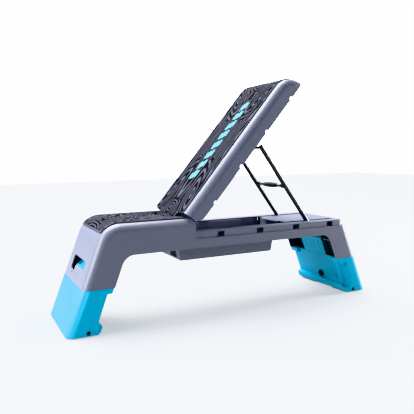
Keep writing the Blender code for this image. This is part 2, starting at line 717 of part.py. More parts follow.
def leg_body():
    """A leg's outer form, drawn at the +X end, with the nose along the foot of its inner face."""
    top = LEG_JOINT_HEIGHT - 0.0005
    bottom = FOOT_THICKNESS
    outer = [(end_x(bottom), bottom), (end_x(top), top)]
    inner = [(leg_face(top), top), (leg_face(0.032), 0.032), (leg_face(0.026, -NOSE_REACH), 0.026)]
    inner += [(leg_face(0.012, -NOSE_REACH), 0.012), (leg_face(bottom, 0.002), bottom)]
    body = prism([*outer, *inner], -FLOOR_WIDTH / 2, FLOOR_WIDTH / 2)
    bevel_chain(body, EDGE_RADIUS, 5, lambda a, b: on_outline(a, b, outer))
    lean_sides(body)
    return body


def leg_recesses():
    """What is cut from a leg's inner face: all of it between flange and nose, and its middle up to the top."""
    flange_low = LEG_JOINT_HEIGHT - FLANGE_HEIGHT
    depth = LEG_RECESS
    lower = [(leg_face(flange_low, depth), flange_low), (leg_face(flange_low, -0.02), flange_low)]
    lower += [(leg_face(0.032, -0.02), 0.032), (leg_face(0.032, -0.002), 0.032), (leg_face(0.0335, 0.006), 0.0335)]
    lower += [(leg_face(0.0365, 0.012), 0.0365), (leg_face(0.042, depth), 0.042)]
    low, high = flange_low - 0.006, 0.17
    upper = [(leg_face(low, depth + 0.0006), low), (leg_face(high, depth + 0.0006), high)]
    upper += [(leg_face(high, -0.02), high), (leg_face(low, -0.02), low)]
    return [prism(lower, -FLOOR_WIDTH, FLOOR_WIDTH), prism(upper, -FLANGE_START, FLANGE_START)]


def leg_rooms():
    """The hollow inside a leg, open at the top, and the grooves beside the middle of its inner face."""
    recess = LEG_RECESS
    floor = FOOT_THICKNESS + 0.005
    high = LEG_JOINT_HEIGHT + 0.02
    rooms = []
    for reach, wall in ((GROOVE_START - WALL, WALL), (FLOOR_WIDTH / 2 - WALL, WALL + GROOVE_DEPTH + 0.001)):
        outer = [(end_x(floor, WALL), floor), (end_x(high, WALL), high)]
        inner = [(leg_face(high, recess + wall), high), (leg_face(floor, recess + wall), floor)]
        room = prism(outer + inner, -reach, reach)
        if wall > WALL:
            bevel_chain(room, EDGE_RADIUS - WALL, 5, lambda a, b: on_outline(a, b, outer))
            lean_sides(room)
        rooms.append(room)
    for side in (-1, 1):
        groove = [(leg_face(0.050, recess + GROOVE_DEPTH), 0.050), (leg_face(0.122, recess + GROOVE_DEPTH), 0.122)]
        groove += [(leg_face(0.128, recess - 0.002), 0.128), (leg_face(0.044, recess - 0.006), 0.044)]
        ends = sorted((side * GROOVE_START, side * GROOVE_END))
        rooms.append(prism(groove, *ends))
    return rooms


def leg_tongue():
    """The arm that carries a leg on its axle, with the barrel at its top."""
    low = 0.120
    thick = 0.006
    face = LEG_RECESS + 0.0012
    arm = [(leg_face(low, face), low), (leg_face(LEG_AXLE_Z, face), LEG_AXLE_Z)]
    arm += [(leg_face(LEG_AXLE_Z, face + thick), LEG_AXLE_Z), (leg_face(low, face + thick), low)]
    parts = [prism(arm, -LEG_TONGUE_HALF, LEG_TONGUE_HALF)]
    parts.append(rod(LEG_AXLE_X, LEG_AXLE_Z, 0.011, -LEG_TONGUE_HALF, LEG_TONGUE_HALF, 20))
    for y in (-LEG_TONGUE_HALF + 0.002, -0.024, 0.024, LEG_TONGUE_HALF - 0.002):
        web = [(leg_face(low, face + 0.003), low), (leg_face(LEG_AXLE_Z - 0.004, face + 0.003), LEG_AXLE_Z - 0.004)]
        web += [(leg_face(LEG_AXLE_Z - 0.006, face + 0.020), LEG_AXLE_Z - 0.006), (leg_face(low, face + 0.026), low)]
        parts.append(prism(web, y - 0.0015, y + 0.0015))
    return parts


def lever_place():
    """The lever's pivot, behind the end wall's inner face."""
    return end_x(LEVER_PIN_Z, WALL) - 0.0085, LEVER_PIN_Z


def leg_lugs():
    """The ears on a leg's outer wall that hold the lever's pin."""
    x, z = lever_place()
    outline = [(end_x(0.118, WALL / 2), 0.118), (end_x(0.142, WALL / 2), 0.142)]
    outline += [(end_x(0.147, WALL + 0.002), 0.147), (x + 0.005, z + 0.003), (x, z + 0.006)]
    outline += [(x - 0.006, z + 0.002), (x - 0.006, 0.134), (x - 0.002, 0.118)]
    return [prism(outline, *sorted((side * 0.0565, side * 0.0625))) for side in (-1, 1)]


def build_leg(side, label, blue, rubber, steel, spring_steel):
    """One folding leg. It is drawn at the +X end, and mirrored for the seat end."""

    def at_end(bm):
        return bm if side > 0 else mirrored(bm)

    empty = axis_empty(f"leg_axis_{label}", side * LEG_AXLE_X, LEG_AXLE_Z)
    leg = solid(f"leg_shell_{label}", at_end(leg_body()), blue)
    for recess in leg_recesses():
        cut(leg, at_end(recess))
    for room in leg_rooms():
        cut(leg, at_end(room))
    for part in leg_tongue() + leg_lugs():
        add(leg, at_end(part))
    bore = LEG_TONGUE_HALF + 0.01
    pin_x, pin_z = lever_place()
    cut(leg, at_end(rod(LEG_AXLE_X, LEG_AXLE_Z, LEG_AXLE_RADIUS + RUNNING_GAP, -bore, bore)))
    cut(leg, at_end(rod(pin_x, pin_z, LEVER_PIN_RADIUS + GAP, -0.065, 0.065, 12)))
    plug_x = end_x(0) - 0.070
    side_wall = half_width(0.010)
    pieces = [leg]
    for y_side, y_name in ((-1, "near"), (1, "far")):
        ends = sorted((y_side * (side_wall - WALL - 0.006), y_side * (side_wall + 0.005)))
        cut(leg, at_end(rod(plug_x, 0.0135, PLUG_RADIUS + GAP, *ends)))
        ends = sorted((y_side * (side_wall - WALL - 0.003), y_side * (side_wall - 0.001)))
        plug = solid(f"side_plug_{label}_{y_name}", at_end(rod(plug_x, 0.0135, PLUG_RADIUS, *ends)), rubber)
        pieces.append(plug)
        pieces.append(build_foot(label, y_side, y_name, at_end, rubber))
    pieces.append(build_bumper(label, leg, at_end, rubber))
    for piece in pieces:
        hang(piece, empty)

    wall = half_width(LEG_AXLE_Z) - WALL - 0.0006
    axle = rod(side * LEG_AXLE_X, LEG_AXLE_Z, LEG_AXLE_RADIUS, -wall, wall)
    pieces.append(solid(f"leg_axle_{label}", axle, steel))
    pieces += build_lever(label, side, empty, at_end, blue, steel, spring_steel)
    return pieces


def build_foot(label, y_side, y_name, at_end, rubber):
    """A rubber foot under one corner of a leg."""
    inner = leg_face(0.004, 0.006)
    outer = end_x(0.004) - 0.004
    y_ends = sorted((y_side * 0.050, y_side * 0.140))
    pad = block((inner, y_ends[0], 0), (outer, y_ends[1], FOOT_THICKNESS - GAP))
    upright = [edge for edge in pad.edges if abs(edge.verts[0].co.z - edge.verts[1].co.z) > 0.001]
    bmesh.ops.bevel(
        pad, geom=upright, offset=0.008, segments=3, profile=0.5, affect="EDGES", material=-1
    )
    return solid(f"rubber_foot_{label}_{y_name}", at_end(pad), rubber)


def build_bumper(label, leg, at_end, rubber):
    """The round rubber bumper in a leg's inner face."""
    z = 0.054
    face = Vector((leg_face(z, LEG_RECESS), 0, z))
    inward = Vector((-1, 0, -END_SLOPE)).normalized()
    deep = face - inward * 0.010
    hole = turned([(0, BUMPER_RADIUS * 0.45 + GAP), (0.03, BUMPER_RADIUS * 0.45 + GAP)], deep, face)
    cut(leg, at_end(hole))
    profile = [(0.004, BUMPER_RADIUS * 0.45), (0.010 + GAP, BUMPER_RADIUS * 0.45)]
    profile += [(0.010 + GAP, BUMPER_RADIUS), (0.0115, BUMPER_RADIUS), (0.013, BUMPER_RADIUS * 0.7)]
    return solid(f"leg_bumper_{label}", at_end(turned(profile, deep, face)), rubber)


def build_lever(label, side, leg_empty, at_end, blue, steel, spring_steel):
    """The release lever in the window, with its pin and its spring."""
    x, z = lever_place()
    front = 0.0035
    rear = 0.0085

    def slab(low, high, front, rear, near, far):
        outline = [(end_x(low, WALL + front), low), (end_x(high, WALL + front), high)]
        outline += [(end_x(high, WALL + rear), high), (end_x(low, WALL + rear), low)]
        return at_end(prism(outline, near, far))

    lever = solid(f"release_lever_{label}", slab(z + 0.0095, LEVER_TOP, front, rear, LEVER_NEAR, LEVER_FAR), blue)
    add(lever, slab(z, z + 0.012, front + 0.0004, rear - 0.0004, -0.050, LEVER_FAR - 0.001))
    add(lever, at_end(rod(x, z, 0.005, -0.050, 0.028)))
    cut(lever, at_end(block((x - 0.01, 0.028, z - 0.01), (x + 0.01, LEVER_FAR + 0.01, z + 0.0065))))
    add(lever, slab(0.188, 0.194, 0.0015, rear - 0.003, LEVER_NEAR + 0.004, LEVER_FAR - 0.004))
    cut(lever, at_end(rod(x, z, LEVER_PIN_RADIUS + GAP, -0.06, 0.06, 12)))
    empty = axis_empty(f"lever_axis_{label}", side * x, z, leg_empty)
    hang(lever, empty)
    pin = solid(f"lever_pin_{label}", at_end(rod(x, z, LEVER_PIN_RADIUS, -0.0645, 0.0645, 12)), steel)
    spring = solid(f"lever_spring_{label}", at_end(rod(x, z, 0.0045, 0.0295, 0.0555, 12)), spring_steel)
    cut(spring, at_end(rod(x, z, LEVER_PIN_RADIUS + GAP, 0.02, 0.06, 12)))
    hang(pin, leg_empty)
    hang(spring, leg_empty)
    return [lever, pin, spring]


def build_hinge_rod(steel, black):
    reach = TONGUE_HALF + 0.0125
    pieces = [solid("hinge_rod", rod(HINGE_X, HINGE_Z, HINGE_ROD_RADIUS, -reach, reach), steel)]
    for side, name in ((-1, "near"), (1, "far")):
        inner = TONGUE_HALF + 0.007 + GAP
        ends = sorted((side * inner, side * (reach + 0.003)))
        cap = solid(f"hinge_cap_{name}", rod(HINGE_X, HINGE_Z, 0.009, *ends), black)
        bore = sorted((side * (inner - 0.005), side * (reach + GAP)))
        cut(cap, rod(HINGE_X, HINGE_Z, HINGE_ROD_RADIUS + GAP, *bore))
        pieces.append(cap)
    return pieces


def main():
    for old in list(bpy.data.objects):
        bpy.data.objects.remove(old, do_unlink=True)
    grey = material("grey_plastic", (0.34, 0.36, 0.50), 0.45)
    blue = material("blue_plastic", (0.0, 0.45, 0.72), 0.4)
    rubber = material("black_rubber", (0.03, 0.03, 0.035), 0.8)
    steel = material("black_steel", (0.02, 0.02, 0.022), 0.4, 0.6)
    bright = material("bright_steel", (0.55, 0.56, 0.58), 0.3, 1.0)

    pieces = [build_base_shell(grey), build_seat_mat(rubber)]
    tray, tray_right = build_tray(grey)
    pieces += [tray, build_well_pan(grey, tray_right)]
    pieces += build_hinge_rod(bright, rubber)
    backrest_axis = axis_empty("backrest_axis", HINGE_X, HINGE_Z)
    pieces += build_backrest(grey, rubber, steel, backrest_axis)
    prop_axis = axis_empty("prop_axis", PROP_FOOT_X, PROP_FOOT_Z)
    pieces += build_prop(steel, rubber, prop_axis)
    pieces += build_foot_pins(bright)
    for side, label in ((-1, "seat_end"), (1, "tip_end")):
        pieces += build_leg(side, label, blue, rubber, bright, bright)
    for piece in pieces:
        finish_piece(piece)


main()
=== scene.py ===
"""Looks of the folding aerobic step deck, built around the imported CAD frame.

+X runs from the seat end to the backrest's tip, +Y across the deck, +Z up, all in metres.
"""

import json
from math import atan2, cos, hypot, pi, radians, sin, tan

import bmesh
import bpy
import numpy as np
from mathutils import Matrix, Vector

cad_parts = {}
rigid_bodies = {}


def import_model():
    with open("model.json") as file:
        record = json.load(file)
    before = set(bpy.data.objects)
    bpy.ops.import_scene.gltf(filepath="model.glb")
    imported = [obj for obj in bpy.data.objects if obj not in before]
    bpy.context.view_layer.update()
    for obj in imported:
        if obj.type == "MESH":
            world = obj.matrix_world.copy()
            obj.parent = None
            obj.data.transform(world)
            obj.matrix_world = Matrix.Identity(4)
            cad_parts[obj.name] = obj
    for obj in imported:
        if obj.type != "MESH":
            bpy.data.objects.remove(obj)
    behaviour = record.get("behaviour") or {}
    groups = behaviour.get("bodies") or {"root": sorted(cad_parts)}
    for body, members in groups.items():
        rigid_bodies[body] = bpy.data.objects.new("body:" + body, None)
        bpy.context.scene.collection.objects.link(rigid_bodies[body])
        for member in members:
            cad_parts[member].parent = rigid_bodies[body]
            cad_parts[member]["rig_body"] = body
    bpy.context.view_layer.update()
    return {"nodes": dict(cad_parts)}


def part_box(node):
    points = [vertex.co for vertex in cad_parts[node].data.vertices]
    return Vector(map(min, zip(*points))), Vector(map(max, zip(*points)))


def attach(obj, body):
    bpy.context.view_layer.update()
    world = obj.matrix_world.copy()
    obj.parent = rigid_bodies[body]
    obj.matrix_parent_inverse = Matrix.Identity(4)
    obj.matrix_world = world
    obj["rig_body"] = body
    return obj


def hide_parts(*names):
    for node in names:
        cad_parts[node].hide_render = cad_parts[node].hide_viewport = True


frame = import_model()
nodes = frame["nodes"]
scene = bpy.context.scene

# ---------------------------------------------------------------- the studio
# A white sweep on a light table, as a catalogue picture of the deck is taken. The light comes from
# above and beyond and from both ends, so the near side falls into soft shade.

EYE = Vector((-0.895, -1.707, 0.577))
YAW, PITCH, ROLL = radians(26.4933), radians(6.1316), radians(-0.6691)
ahead = Vector((sin(YAW) * cos(PITCH), cos(YAW) * cos(PITCH), -sin(PITCH)))
level = Vector((cos(YAW), -sin(YAW), 0))
above = level.cross(ahead)
across = level * cos(ROLL) + above * sin(ROLL)
upwards = above * cos(ROLL) - level * sin(ROLL)
SENSOR_WIDTH, LENS = 36, 43.94
camera = bpy.data.objects.new("camera", bpy.data.cameras.new("camera"))
camera.data.sensor_width = SENSOR_WIDTH
camera.data.lens = LENS
camera.matrix_world = Matrix.Translation(EYE) @ Matrix((across, upwards, -ahead)).transposed().to_4x4()
scene.collection.objects.link(camera)
scene.camera = camera


class Wire:
    """One output socket. Arithmetic on it adds Math nodes."""

    def __init__(self, graph, socket):
        self.graph = graph
        self.socket = socket

    def math(self, operation, first, second=None):
        return self.graph.node("Math", {"operation": operation}, {0: first, 1: second})

    def __add__(self, other):
        return self.math("ADD", self, other)

    def __radd__(self, other):
        return self.math("ADD", other, self)

    def __sub__(self, other):
        return self.math("SUBTRACT", self, other)

    def __rsub__(self, other):
        return self.math("SUBTRACT", other, self)

    def __mul__(self, other):
        return self.math("MULTIPLY", self, other)

    def __rmul__(self, other):
        return self.math("MULTIPLY", other, self)

    def __truediv__(self, other):
        return self.math("DIVIDE", self, other)

    def __rtruediv__(self, other):
        return self.math("DIVIDE", other, self)

    def __lt__(self, other):
        return self.math("LESS_THAN", self, other)

    def __gt__(self, other):
        return self.math("GREATER_THAN", self, other)

    def __mod__(self, other):
        return self.math("FLOORED_MODULO", self, other)

    def __abs__(self):
        return self.math("ABSOLUTE", self)


class Graph:
    """The nodes of one material or of the room's light."""

    def __init__(self, tree):
        self.tree = tree

    def node(self, kind, settings, values, output=0):
        made = self.tree.nodes.new("ShaderNode" + kind)
        for key, value in settings.items():
            setattr(made, key, value)
        for key, value in values.items():
            if isinstance(value, Wire):
                self.tree.links.new(value.socket, made.inputs[key])
            elif value is not None:
                made.inputs[key].default_value = value
        return Wire(self, made.outputs[output]) if output is not None else made

    def mix(self, share, first, second):
        """Two colours, or a colour and a wire, mixed by a share."""
        ends = [end if isinstance(end, Wire) else (*end, 1) for end in (first, second)]
        return self.node("Mix", {"data_type": "RGBA"}, {0: share, 6: ends[0], 7: ends[1]}, 2)


class Finish(Graph):
    """A material under construction: its nodes, and the shader that they feed."""

    def __init__(self, name, **constants):
        self.material = bpy.data.materials.new(name)
        self.material.use_nodes = True
        super().__init__(self.material.node_tree)
        self.shader = self.tree.nodes["Principled BSDF"]
        for key, value in constants.items():
            self.shader.inputs[key.replace("_", " ")].default_value = value

    def feed(self, socket, wire):
        self.tree.links.new(wire.socket, self.shader.inputs[socket])

    def noise(self, scale, detail):
        place = self.node("TexCoord", {}, {}, 3)
        return self.node("TexNoise", {}, {"Vector": place, "Scale": scale, "Detail": detail})

    def relief(self, height, distance):
        bump = self.node("Bump", {}, {"Strength": 1.0, "Distance": distance, "Height": height})
        self.feed("Normal", bump)


SKY_BLUE, PAPER_WHITE = (0.48, 0.68, 1.0), (1.0, 1.0, 1.0)
SEEN_STRENGTH, NEAR_LIGHT, FAR_LIGHT = 7.0, 0.16, 0.5
NEAR_SIDE, FAR_SIDE, UPWARD_SHARE = -0.9, 0.7, 0.4


def surroundings():
    """A white room for the eye. As light it is bright beyond the deck and dim on the near side."""
    made = bpy.data.worlds.new("studio")
    made.use_nodes = True
    made.node_tree.nodes.clear()
    room = Graph(made.node_tree)
    direction = room.node("TexCoord", {}, {})
    depth = room.node("SeparateXYZ", {}, {0: direction}, 1)
    height = room.node("SeparateXYZ", {}, {0: direction}, 2)
    levels = {0: depth - UPWARD_SHARE * height, 1: NEAR_SIDE, 2: FAR_SIDE, 3: NEAR_LIGHT, 4: FAR_LIGHT}
    bright = room.node("MapRange", {"interpolation_type": "SMOOTHSTEP"}, levels)
    seen = room.node("LightPath", {}, {})
    strength = bright * (1.0 - seen) + SEEN_STRENGTH * seen
    tint = room.mix(seen, SKY_BLUE, PAPER_WHITE)
    glow = room.node("Background", {}, {"Color": tint, "Strength": strength})
    room.node("OutputWorld", {}, {"Surface": glow}, None)
    return made


def softbox(name, place, target, size, power, tint):
    light = bpy.data.lights.new(name, "AREA")
    light.shape = "RECTANGLE"
    light.size, light.size_y = size
    light.energy = power
    light.color = tint
    holder = bpy.data.objects.new(name, light)
    scene.collection.objects.link(holder)
    aim = (Vector(target) - Vector(place)).to_track_quat("-Z", "Y")
    holder.matrix_world = Matrix.Translation(place) @ aim.to_matrix().to_4x4()


scene.world = surroundings()
scene.view_settings.view_transform = "Khronos PBR Neutral"
softbox(
    "key", place=(-3.4, -0.2, 1.5), target=(0, 0, 0.3), size=(1.8, 1.6), power=245, tint=(0.98, 0.985, 1)
)
softbox(
    "rim", place=(3.3, -0.45, 1.0), target=(0.5, 0, 0.3), size=(1.0, 1.4), power=320, tint=(1, 0.98, 0.97)
)
skylight = bpy.data.objects.new("overhead", bpy.data.lights.new("overhead", "SUN"))
skylight.data.energy = 19.5
skylight.data.color = (1, 0.965, 0.925)
skylight.data.angle = radians(48)
skylight.rotation_euler = (radians(-29), radians(-10), 0)
scene.collection.objects.link(skylight)


PAPER_DARK, PAPER_LIGHT, PAPER_GLOW = (0.163, 0.172, 0.183), (0.174, 0.183, 0.195), (0.94, 0.97, 1, 1)


def floor_finish():
    """Matt paper lit from below by the table, faintly mottled."""
    paper = Finish("studio_paper", Roughness=0.95, Emission_Color=PAPER_GLOW, Emission_Strength=0.53)
    paper.feed("Base Color", paper.mix(paper.noise(scale=1.5, detail=2.0), PAPER_DARK, PAPER_LIGHT))
    return paper.material


def as_mesh(name, bm):
    mesh = bpy.data.meshes.new(name)
    bm.to_mesh(mesh)
    bm.free()
    return mesh


FLOOR_HALF = 9
sweep = bmesh.new()
bmesh.ops.create_grid(sweep, x_segments=4, y_segments=4, size=FLOOR_HALF)
floor = bpy.data.objects.new("floor", as_mesh("floor", sweep))
floor.data.materials.append(floor_finish())
scene.collection.objects.link(floor)

# ---------------------------------------------------------------- the moulded base
# One large injection moulding in lilac grey: the seat block, both shell legs, the two rails with
# their band pockets and the deck plate. The tool's grain is fine and satin, and every edge of the
# moulding has a small radius that catches the light.

LENGTH, FLOOR_WIDTH, TOP_WIDTH, TOP_HEIGHT = 1.2295, 0.314, 0.305, 0.356
END_SLOPE = 0.381
SHELL_TOP = TOP_HEIGHT - 0.004
LILAC, LILAC_SHADE = (0.095, 0.104, 0.146), (0.089, 0.097, 0.137)
# Painted shade: the near-black colours for the hollows inside the shell, two tones that drift at random.
HOLLOW_PAINTED_SHADE_DARK, HOLLOW_PAINTED_SHADE_LIGHT = (0.008, 0.009, 0.016), (0.022, 0.023, 0.038)
RIM_EDGE = 0.0011


def moulded(name, tint, shade, roughness, gloss=0.5):
    """A satin moulded plastic: slow drift in tone, fine tool grain, faint rubbing marks."""
    made = Finish(name, IOR=1.47, Specular_IOR_Level=gloss)
    drift = made.noise(scale=7.0, detail=2.0)
    scuffs = made.noise(scale=60.0, detail=6.0)
    grain = made.noise(scale=1400.0, detail=2.0)
    marks = (scuffs > 0.60) * 0.06
    made.feed("Base Color", made.mix(marks, made.mix(drift, shade, tint), tuple(min(1, c * 1.25) for c in tint)))
    made.feed("Roughness", roughness + 0.10 * scuffs + 0.06 * grain - 0.08)
    made.relief(grain + 0.6 * scuffs, distance=0.00006)
    return made.material


grey = moulded("lilac_plastic", LILAC, LILAC_SHADE, 0.42)
# Painted shade: a near-black copy of the grey for faces that stand in shade inside the mouldings.
grey_painted_shade = moulded("lilac_plastic_painted_shade", HOLLOW_PAINTED_SHADE_DARK, HOLLOW_PAINTED_SHADE_LIGHT, 0.55)


def piece(name, bm, finishes, body):
    """A finished piece, which rides on a body and takes its slot's finish."""
    made = bpy.data.objects.new(name, as_mesh(name, bm))
    for finish in finishes:
        made.data.materials.append(finish)
    scene.collection.objects.link(made)
    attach(made, body)
    return made


SHARPEST_PLAIN_EDGE, RADIUS_STEPS = radians(38), 2


def rounded(made, radius):
    """Small moulded radii on every edge, and flat faces that stay flat in the light."""
    made.data.shade_smooth()
    bevel = made.modifiers.new("radii", "BEVEL")
    bevel.width = radius
    bevel.segments = RADIUS_STEPS
    bevel.limit_method = "ANGLE"
    bevel.angle_limit = SHARPEST_PLAIN_EDGE
    bevel.use_clamp_overlap = True
    weighted = made.modifiers.new("flatness", "WEIGHTED_NORMAL")
    weighted.mode = "FACE_AREA"
    weighted.keep_sharp = True
    return made


FLAT_WITHIN = radians(0.6)


def whole(node):
    """The node's triangles joined into one surface, with flat areas as single faces."""
    bm = bmesh.new()
    bm.from_mesh(nodes[node].data)
    bmesh.ops.remove_doubles(bm, verts=bm.verts, dist=3e-6)
    bmesh.ops.dissolve_limit(bm, angle_limit=FLAT_WITHIN, verts=bm.verts, edges=bm.edges, delimit={"NORMAL"})
    bmesh.ops.dissolve_degenerate(bm, edges=bm.edges, dist=1e-6)
    return bm


def body_of(node):
    return nodes[node]["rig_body"]


def restyled(node, finishes, radius, paint=None, shape=None):
    """The CAD node's own shape with moulded radii. Shape alters it, and paint picks a slot for each face."""
    bm = whole(node)
    if shape:
        shape(bm)
    for face in bm.faces:
        face.smooth = True
        if paint:
            face.material_index = paint(face.calc_center_median(), face.normal)
    made = piece("looks_" + node, bm, finishes, body_of(node))
    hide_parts(node)
    return rounded(made, radius)


HINGE_NOTCH_FROM, HINGE_NOTCH_TO, HINGE_NOTCH_HALF, HINGE_NOTCH_TOP = -0.262, -0.160, 0.0735, 0.3510
END_WALL, SIDE_WALL = 0.0040, 0.0037
DECK_UNDERSIDE, SEAT_UNDERSIDE, STEP_X = 0.3022, 0.3484, -0.1668
CHANNEL_FROM, CHANNEL_TO, CHANNEL_Y, CHANNEL_HALF, CHANNEL_TOP = 0.22, 0.4675, 0.1015, 0.0115, 0.3046


def base_painted_shade(centre, normal):
    """Painted shade: slot 1, near black, for the hinge notch, the tubes' channels, and all that faces the hollow
    under the deck.
    """
    at_hinge = HINGE_NOTCH_FROM < centre.x < HINGE_NOTCH_TO and abs(centre.y) < HINGE_NOTCH_HALF
    notch = at_hinge and centre.z < HINGE_NOTCH_TOP
    wall_x = LENGTH / 2 - END_SLOPE * centre.z - END_WALL
    wall_y = (FLOOR_WIDTH - (FLOOR_WIDTH - TOP_WIDTH) * centre.z / TOP_HEIGHT) / 2 - SIDE_WALL
    ceiling = DECK_UNDERSIDE if centre.x > STEP_X else SEAT_UNDERSIDE
    inwards = normal.y * centre.y < -0.01 or normal.x * centre.x < -0.01 or normal.z < -0.5
    hollow = abs(centre.x) < wall_x and abs(centre.y) < wall_y and centre.z < ceiling and inwards
    over_tube = CHANNEL_FROM < centre.x < CHANNEL_TO and abs(abs(centre.y) - CHANNEL_Y) < CHANNEL_HALF
    channel = over_tube and centre.z < CHANNEL_TOP
    return 1 if notch or hollow or channel else 0


def carve(made, tool, operation="DIFFERENCE"):
    """Cuts the tool's shape out of a piece, or joins it on."""
    helper = bpy.data.objects.new("tool", as_mesh("tool", tool))
    scene.collection.objects.link(helper)
    cut = made.modifiers.new("cut", "BOOLEAN")
    cut.operation, cut.solver, cut.object = operation, "EXACT", helper
    bpy.context.view_layer.update()
    shaped = bpy.data.meshes.new_from_object(made.evaluated_get(bpy.context.evaluated_depsgraph_get()))
    made.modifiers.clear()
    made.data = shaped
    bpy.data.objects.remove(helper)


def slab(outline, low, high):
    """An outline of (x, z) points, drawn along Y."""
    bm = bmesh.new()
    face = bm.faces.new([bm.verts.new((x, low, z)) for x, z in outline])
    moved = bmesh.ops.extrude_face_region(bm, geom=[face])["geom"]
    ends = [item for item in moved if isinstance(item, bmesh.types.BMVert)]
    bmesh.ops.translate(bm, verts=ends, vec=(0, high - low, 0))
    bmesh.ops.recalc_face_normals(bm, faces=bm.faces)
    return bm


def reach_x(z, inset=0.0):
    """How far from the middle the sloping end face lies at height z, moved inwards by inset."""
    return LENGTH / 2 - END_SLOPE * z - inset * hypot(1, END_SLOPE)


def at_end(outline, side):
    return [(side * x, z) for x, z in outline]


ENDS = ((-1, "seat_end"), (1, "tip_end"))
SCOOP_LOW, SCOOP_HIGH, SCOOP_DEEP, SCOOP_HALF = 0.1655, 0.1800, 0.0032, 0.052
SILL_FROM, SILL_TO, SILL_EDGE = -0.0768, 0.030, 0.0006
SILL = [(0.0008, 0.1770), (0.0008, 0.1955), (0.0036, 0.1970), (0.0036, 0.1770)]
# Faces that look into the hollow under the deck, the hinge notch and the tubes' channels are painted near black as
# shade.
base_piece = restyled("base_shell", [grey, grey_painted_shade], RIM_EDGE, base_painted_shade)
base_piece.modifiers.clear()
for side, label in ENDS:
    ramp = [(reach_x(SCOOP_LOW), SCOOP_LOW), (reach_x(SCOOP_HIGH, SCOOP_DEEP), SCOOP_HIGH)]
    ramp += [(reach_x(SCOOP_HIGH, -0.01), SCOOP_HIGH), (reach_x(SCOOP_LOW, -0.01), SCOOP_LOW)]
    carve(base_piece, slab(at_end(ramp, side), -SCOOP_HALF, SCOOP_HALF))
    sill = slab(at_end([(reach_x(z, inset), z) for inset, z in SILL], side), SILL_FROM, SILL_TO)
    rounded(piece("window_sill_" + label, sill, [grey], "base"), SILL_EDGE)
rounded(base_piece, RIM_EDGE)

# ---------------------------------------------------------------- tray and pan
# Two thin mouldings that clip in under the deck plate. They are the same grey outside. Inside the
# well they take a grey finish of their own, about as light as the outside, where bands and small gear are kept.


WELL_FLOOR, WELL_TOP, WELL_HALF, WELL_OUTSIDE, RIB_TOP = 0.2050, 0.30, 0.1162, 0.1168, 0.3025


def lined(centre, normal):
    """The faces inside the well, apart from the tops of its ribs."""
    in_well = centre.z > WELL_FLOOR and abs(centre.y) < WELL_HALF
    inside = in_well and (normal.z > 0.5 or centre.z < WELL_TOP)
    outside_wall = normal.z < -0.5 or abs(centre.y) > WELL_OUTSIDE
    rib_top = normal.z > 0.5 and centre.z > RIB_TOP
    return 1 if inside and not outside_wall and not rib_top else 0


WELL_GREY, WELL_SHADE = (0.098, 0.106, 0.150), (0.088, 0.095, 0.135)
TRAY_EDGE, THIN_EDGE = 0.0008, 0.0006
VENT = [(-0.235, 0.2105), (-0.190, 0.2105), (-0.190, 0.2350), (-0.235, 0.2350)]
VENT_NEAR, VENT_FAR = 0.030, 0.086
well_grey = moulded("well_plastic", WELL_GREY, WELL_SHADE, 0.50)
tray = restyled("storage_tray", [grey, well_grey], TRAY_EDGE, lined)
tray.modifiers.clear()
for side in (-1, 1):
    carve(tray, slab(VENT, *sorted((side * VENT_NEAR, side * VENT_FAR))))
rounded(tray, TRAY_EDGE)
restyled("well_pan", [grey, well_grey], THIN_EDGE, lined)

# ---------------------------------------------------------------- the two mats
# Charcoal rubber mats, pressed with curved tread ridges and glued down on the seat and on the
# backrest. The grooves are painted near black as shade, which leaves the ridges lighter. Plain
# slanted bars are printed along the middle of the backrest's mat.

MAT_HALF, MAT_THICKNESS, MAT_WRAP, MAT_LIFT = 0.126, 0.0037, 0.72, 0.0002
HINGE = Vector((-0.200, 0, 0.320))
BACK_ANGLE = radians(49.6)
GLUE = 0.0003
END_RADIUS = 0.080
TREAD_PITCH, TREAD_DEPTH = 0.0120, 0.0022
WOBBLE, WOBBLE_ALONG, WOBBLE_ACROSS = 0.0010, 71.0, 83.0
RIDGE_SHARE, RIDGE_SLOPE = 0.50, 0.16
SEAM_START, SEAM_WIDTH = 0.0006, 0.0016
BORDER, BORDER_SLOPE = 0.0045, 0.002
CELL = 0.0015
TURN = pi / 2 - atan2(END_SLOPE, 1)
corner_x = LENGTH / 2 - END_SLOPE * SHELL_TOP - END_RADIUS * tan(TURN / 2)
corner_z = SHELL_TOP - END_RADIUS


def mat_line(side, start, s):
    """The point and the outward direction at length s along the mat's top."""
    radius = END_RADIUS + GLUE + MAT_THICKNESS
    flat = corner_x - side * start
    if s <= flat:
        return start + side * s, TOP_HEIGHT, 0.0, 1.0
    angle = (s - flat) / radius
    return side * (corner_x + radius * sin(angle)), corner_z + radius * cos(angle), side * sin(angle), cos(angle)


def tread(s, y, knots, length):
    """Height of the tread, 0 to 1: nested ovals round knots, as in a tyre, with a plain border."""
    near = np.full(s.shape, 9.0)
    second = np.full(s.shape, 9.0)
    for knot_s, knot_y, stretch, lean in knots:
        a = radians(lean)
        along = ((s - knot_s) * cos(a) + (y - knot_y) * sin(a)) / stretch
        over = (y - knot_y) * cos(a) - (s - knot_s) * sin(a)
        reach = np.hypot(along, over)
        second = np.minimum(second, np.maximum(near, reach))
        near = np.minimum(near, reach)
    wobble = WOBBLE * np.sin(s * WOBBLE_ALONG) * np.cos(y * WOBBLE_ACROSS)
    wave = np.abs(((near + wobble) / TREAD_PITCH) % 1.0 * 2 - 1)
    height = np.clip((RIDGE_SHARE - wave) / RIDGE_SLOPE, 0, 1)
    seam = np.clip((second - near - SEAM_START) / SEAM_WIDTH, 0, 1)
    edge = np.minimum(np.minimum(MAT_HALF - np.abs(y), s), length - s)
    inside = np.clip((edge - BORDER) / BORDER_SLOPE, 0, 1)
    return np.where(edge < BORDER, 1.0, np.minimum(height, seam) * inside)


